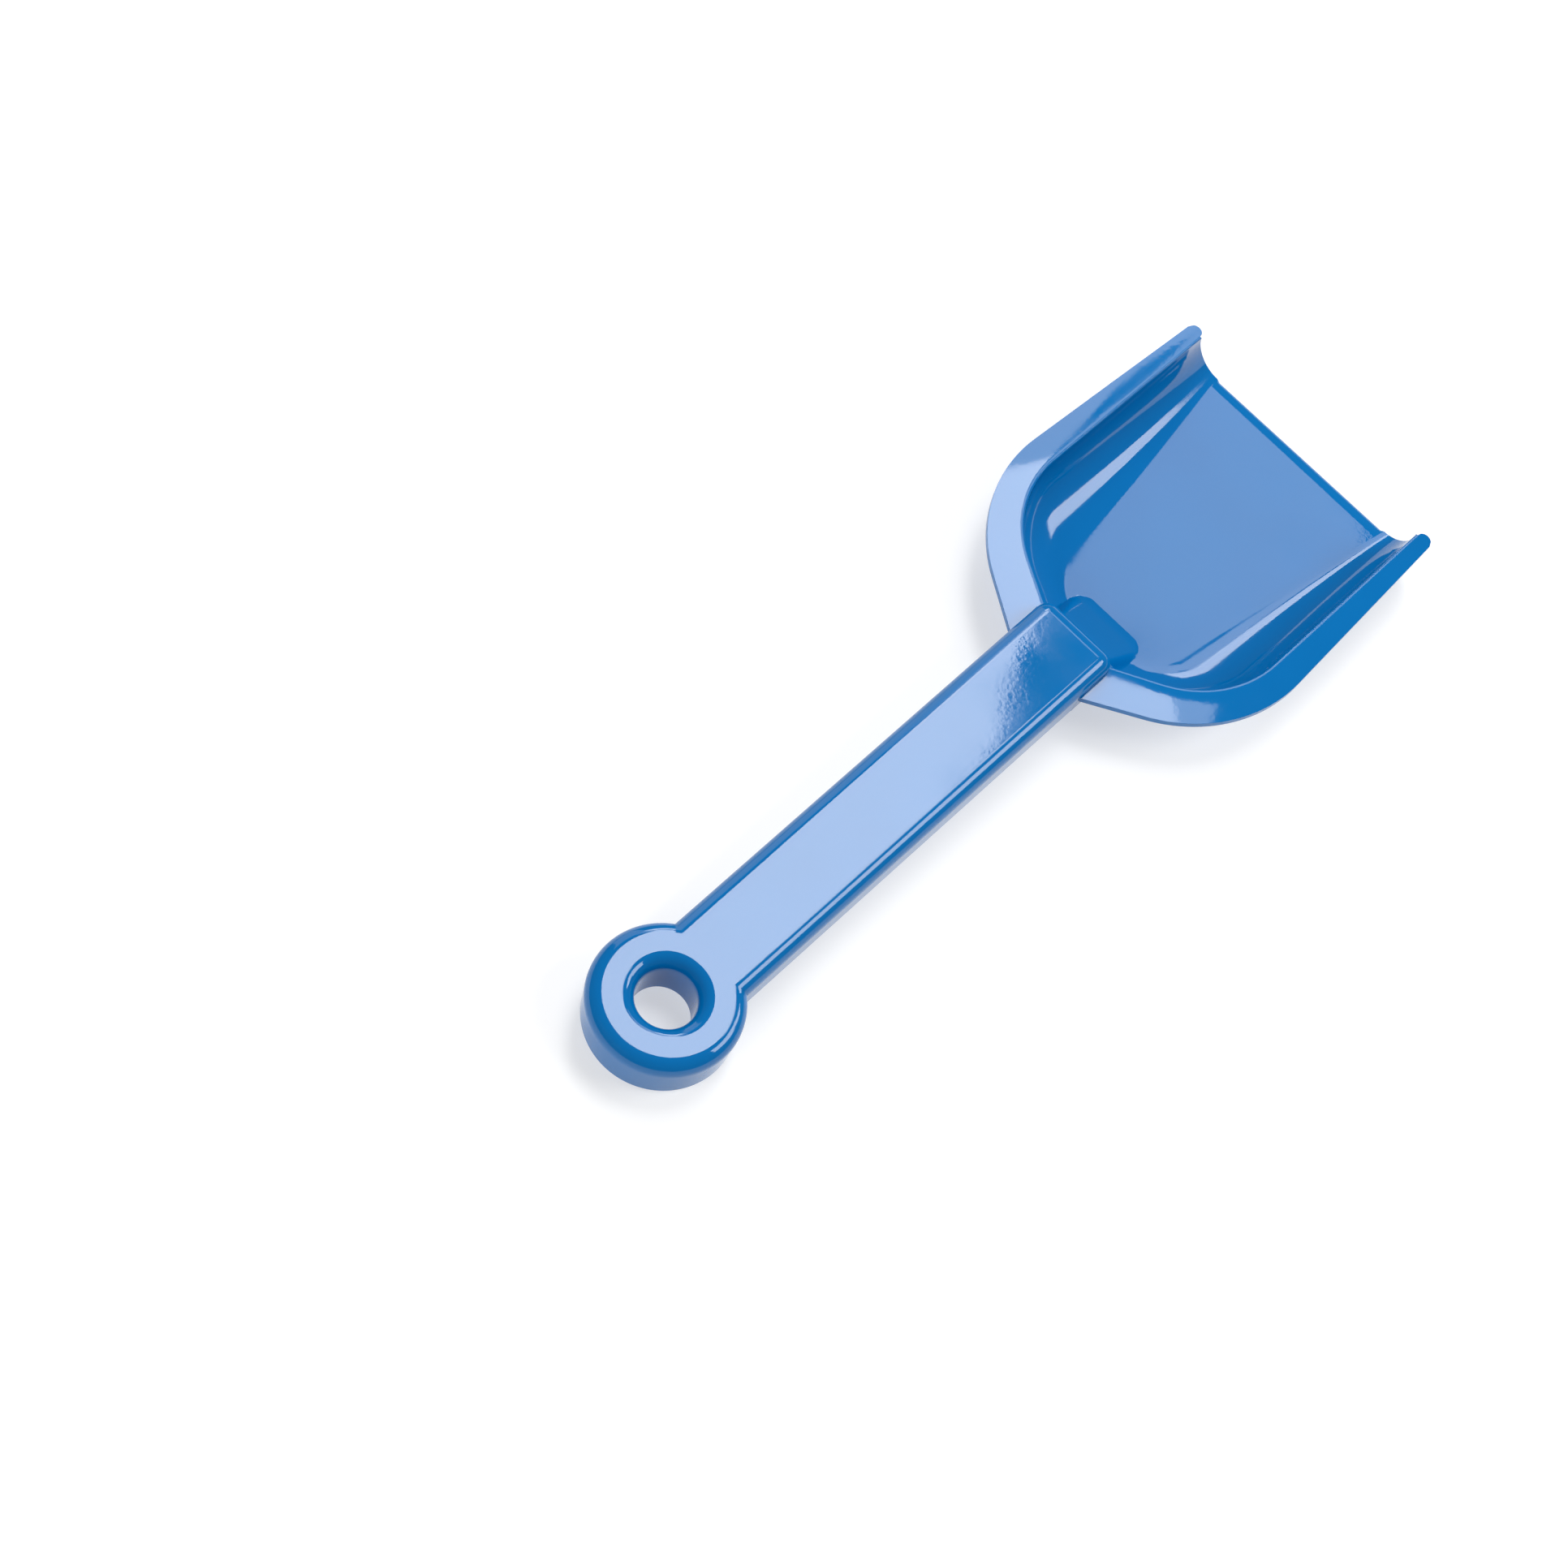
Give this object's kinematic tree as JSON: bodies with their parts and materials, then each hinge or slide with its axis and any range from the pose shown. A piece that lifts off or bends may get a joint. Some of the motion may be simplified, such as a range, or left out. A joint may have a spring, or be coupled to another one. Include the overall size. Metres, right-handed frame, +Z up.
{
  "type": "sand shovel",
  "caption": "Child's sand shovel with a deep open pan, an outward rim, a straight hollow handle and a ring end to hang it by.",
  "frame": {"origin": "middle of the shovel's outline, on the ground it lies on", "axes": "+Z up out of the pan, +Y from the ring towards the lip, +X to the right seen from behind the handle"},
  "size_m": [0.0864, 0.25, 0.0207],
  "materials": {
    "blue_plastic": "glossy moulded polypropylene"
  },
  "bodies": {
    "root": {"blade": "blue_plastic", "handle_top": "blue_plastic", "handle_bottom": "blue_plastic"}
  },
  "joints": []
}
